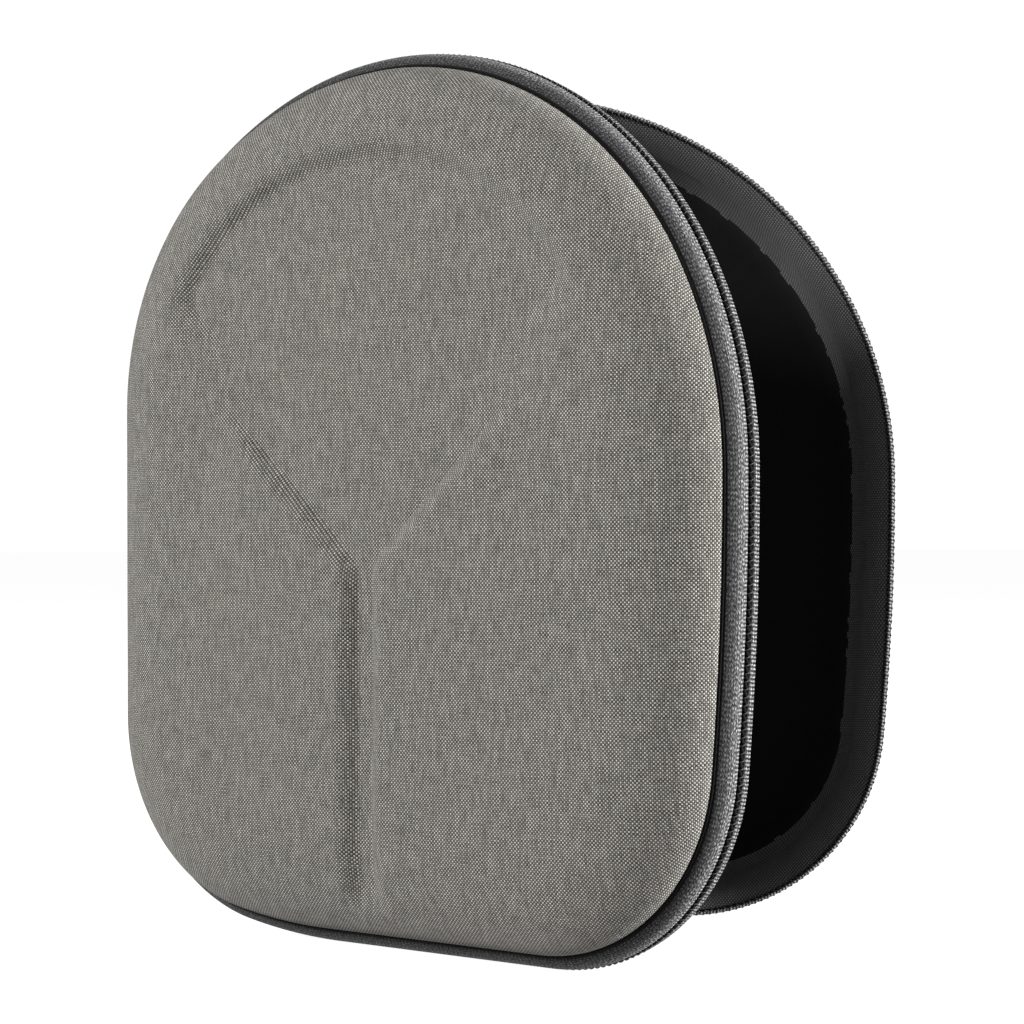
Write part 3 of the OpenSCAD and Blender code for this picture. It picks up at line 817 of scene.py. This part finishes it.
# ------------------------------------------------------------- fabric hinge
def strip(name, line, thick, z0, z1, mat, nodes, fold, uvscale=1.0):
    """line: one half's profile (inset, depth) from the seam to the fold; mirrored for the other half, at rest."""
    line = np.asarray(line, float)
    t = np.linspace(0, 1, 26)
    arc = np.concatenate([[0], np.cumsum(np.hypot(*np.diff(line, axis=0).T))])
    a = np.interp(t * arc[-1], arc, line[:, 0]); d = np.interp(t * arc[-1], arc, line[:, 1])
    for _ in range(3):
        a[1:-1] = (a[:-2] + 2 * a[1:-1] + a[2:]) / 4; d[1:-1] = (d[:-2] + 2 * d[1:-1] + d[2:]) / 4
    x = np.concatenate([a, a[::-1][1:]]); y = np.concatenate([-d, d[::-1][1:]])
    w = smooth(0.5 - y / (2 * fold))
    tx, ty = np.gradient(x), np.gradient(y)
    ln = np.hypot(tx, ty); nx, ny = -ty / ln, tx / ln
    zs = np.linspace(z0, z1, 22)
    rows = []
    uvs = []
    run_u = np.concatenate([[0], np.cumsum(np.hypot(np.diff(x), np.diff(y)))])
    for off in (0.0, thick):
        xx, yy = x - nx * off, y - ny * off
        dx, dy = (-x_left + xx) - HXO, yy
        ang = OPEN * w
        c, s = np.cos(ang), np.sin(ang)
        X, Y = HX + dx * c + dy * s, HY - dx * s + dy * c
        for z in zs:
            # edges stitched down
            rows.append(np.stack([X, Y, np.full(len(X), z)], -1) * 0.001)
            uvs.append(np.stack([run_u + 3.2, np.full(len(X), z)], -1)[:, ::-1])
    n, m = len(zs), len(x)
    faces = list(grid_faces(0, n, m, False)) + list(grid_faces(n * m, n, m, False))
    o = n * m
    for i in range(m - 1):
        faces.append([i, i + 1, o + i + 1, o + i])
        e = (n - 1) * m
        faces.append([e + i, e + i + 1, o + e + i + 1, o + e + i])
    for r in range(n - 1):
        faces.append([r * m, (r + 1) * m, o + (r + 1) * m, o + r * m])
        q = m - 1
        faces.append([r * m + q, (r + 1) * m + q, o + (r + 1) * m + q, o + r * m + q])
    ob = make(name, np.concatenate(rows), faces, np.concatenate(uvs), [mat])
    # rest points just either side of the fold (not used further)
    f = rows[0]
    ib, jf = int(np.argmin(np.abs(y - fold))), int(np.argmin(np.abs(y + fold)))
    pb, pf = f[ib].copy(), f[jf].copy()
    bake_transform(ob)
    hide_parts(*nodes)
    return ob


def spine_weave():
    n = Nodes("hinge_strip")
    u, v = n.uv()
    over, dome, ta, tb = weave(n, u, v, 0.55, 0.9)
    col = n.mix(over, n.mix(tb, rgb(0.035, 0.035, 0.036), rgb(0.075, 0.075, 0.077)), n.mix(ta, rgb(0.10, 0.10, 0.10), rgb(0.21, 0.21, 0.208)))
    # painted shade: base colour darker in the gaps between threads, following the dome height
    n.put(n.b.inputs["Base Color"], n.scale(col, n.math("MULTIPLY_ADD", dome, 0.75, 0.25)))
    n.set(Roughness=0.8, Specular_IOR_Level=0.2, Sheen_Weight=0.12, Sheen_Roughness=0.5)
    n.bump(dome, 0.7, 0.00018)
    return n.m


M["spine"] = spine_weave()
strip("hinge_strip_outer", [[4.7, 10.6], [3.5, 10.3], [2.6, 9.8], [1.75, 9.1], [1.0, 8.1], [0.5, 7.0], [0.12, 5.8], [-0.25, 4.5], [-0.7, 3.3], [-1.2, 2.2], [-1.75, 1.2], [-2.2, 0.45], [-2.42, 0.0]],
      -0.75, SPINE_LO - 0.6, SPINE_HI + 0.6, M["spine"], ["spine_outer_front", "spine_outer_back"], 1.6)
strip("hinge_strip_inner", [[7.5, 9.2], [6.45, 6.85], [5.5, 5.0], [4.5, 3.6], [3.3, 2.5], [2.2, 1.85], [1.0, 1.6], [0.0, 1.1], [-0.7, 0.45], [-0.95, 0.0]],
      0.45, SPINE_LO - 2.0, SPINE_HI + 2.0, M["lining"], ["spine_inner_front", "spine_inner_back"], 1.4)

# rows of machine stitches that hold the hinge strip
def stitch_row(name, front, body, prof, z0, z1, step=2.6):
    parts = []
    z = z0
    while z < z1 - step * 0.5:
        t = np.linspace(-1, 1, 7)
        zz = z + step * 0.5 + t * step * 0.36
        ins = prof[0] - 0.16 * (1 - t ** 2)
        path = place(front, -x_left + ins, prof[1] + 0.12 * (1 - t ** 2), zz)
        parts.append((tube(path, 0.00021 * np.sqrt(np.clip(1.08 - t ** 2, 0.05, 1)), 6, step), 0))
        z += step
    v, f, u, m = join(parts)
    o = make(name, v, f, u, [M["stitch"]], m, fix=False)
    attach(o, body)


for half, front, body in (("front", True, "front_half"), ("back", False, "back_half")):
    stitch_row(f"{half}_hinge_stitches_a", front, body, (3.25, 10.3), SPINE_LO, SPINE_HI)
    stitch_row(f"{half}_hinge_stitches_b", front, body, (0.78, 7.95), SPINE_LO, SPINE_HI)

# ------------------------------------------------------------- metal
for node, key, width in (("slider_body", "slider", 0.0003), ("slider_bridge", "slider", 0.0002), ("pull_tab", "slider", 0.0003),
                         ("slider_pin", "pin", 0.0001), ("bottom_stop", "stop", 0.0002), ("front_top_stop", "stop", 0.0002), ("back_top_stop", "stop", 0.0002)):
    o = frame["nodes"][node]
    o.data.materials.clear()
    o.data.materials.append(M[key])
    bev = o.modifiers.new("edge", "BEVEL")
    bev.width, bev.segments, bev.limit_method, bev.angle_limit = width, 2, "ANGLE", rad(35)
    bev.harden_normals = False

# ------------------------------------------------------------- camera, floor, light
AZ, EL, ROLL, DIST = rad(5.20), rad(-0.36), rad(0.20), 0.803
target = Vector((0.00019, HY / 1000, 0.12030))
back = Vector((math.sin(AZ) * math.cos(EL), -math.cos(AZ) * math.cos(EL), math.sin(EL)))
cam_data = bpy.data.cameras.new("camera")
cam_data.sensor_width = 36.0
cam_data.lens = 2689.0 / 1024 * 36.0
cam_data.clip_start, cam_data.clip_end = 0.02, 50
cam = bpy.data.objects.new("camera", cam_data)
scene.collection.objects.link(cam)
cam.location = target + back * DIST
cam.rotation_mode = "QUATERNION"
cam.rotation_quaternion = (-back).to_track_quat("-Z", "Y") @ Matrix.Rotation(-ROLL, 3, "Z").to_quaternion()
scene.camera = cam

fm = bpy.data.meshes.new("floor")
R, n = 14.0, 96
fv = [(0.0, 0.0, -0.0002)] + [(R * math.cos(2 * math.pi * i / n), R * math.sin(2 * math.pi * i / n), -0.0002) for i in range(n)]
fm.from_pydata(fv, [], [(0, 1 + i, 1 + (i + 1) % n) for i in range(n)])
floor = bpy.data.objects.new("floor", fm)
scene.collection.objects.link(floor)
fn = Nodes("floor_paper")
tc = fn.t.nodes.new("ShaderNodeTexCoord")
g = fn.noise(tc.outputs["Object"], 3.0, 3.0)
fn.put(fn.b.inputs["Base Color"], fn.mix(g, rgb(0.24, 0.24, 0.24), rgb(0.26, 0.26, 0.26)))
fn.set(Roughness=0.9, Specular_IOR_Level=0.1)
fl = fn.t.nodes.new("ShaderNodeLightPath")
fn.put(fn.b.inputs["Emission Strength"], fn.math("MULTIPLY_ADD", fl.outputs["Is Camera Ray"], 0.72, 0.22))
fn.b.inputs["Emission Color"].default_value = (1, 1, 1, 1)
fm.materials.append(fn.m)

world = bpy.data.worlds.new("studio")
scene.world = world
world.use_nodes = True
wt = world.node_tree
wt.nodes.clear()
wo = wt.nodes.new("ShaderNodeOutputWorld")
w1, w2 = wt.nodes.new("ShaderNodeBackground"), wt.nodes.new("ShaderNodeBackground")
w1.inputs[0].default_value = (1, 1, 1, 1); w1.inputs[1].default_value = 0.13
w2.inputs[0].default_value = (1, 1, 1, 1); w2.inputs[1].default_value = 1.05
lp, mx = wt.nodes.new("ShaderNodeLightPath"), wt.nodes.new("ShaderNodeMixShader")
wt.links.new(lp.outputs["Is Camera Ray"], mx.inputs[0])
wt.links.new(w1.outputs[0], mx.inputs[1]); wt.links.new(w2.outputs[0], mx.inputs[2])
wt.links.new(mx.outputs[0], wo.inputs[0])


def area(name, loc, aim, size, watts, sy=None):
    l = bpy.data.lights.new(name, "AREA")
    l.energy = watts
    l.size = size
    if sy:
        l.shape, l.size_y = "RECTANGLE", sy
    o = bpy.data.objects.new(name, l)
    scene.collection.objects.link(o)
    o.location = loc
    o.rotation_mode = "QUATERNION"
    o.rotation_quaternion = (Vector(aim) - Vector(loc)).to_track_quat("-Z", "Y")


area("key", (-1.8, -1.25, 1.3), (0, 0, 0.12), 0.4, 63.0, 0.4)
area("right_side", (2.2, -0.25, 0.3), (0, 0, 0.12), 0.6, 135.0, 1.0)
area("front", (0.5, -2.5, 0.45), (0, 0, 0.12), 1.4, 3.0)
area("back", (0.7, 2.3, 1.0), (0, 0, 0.12), 1.0, 38.0)

scene.view_settings.view_transform = "Standard"
scene.view_settings.look = "None"
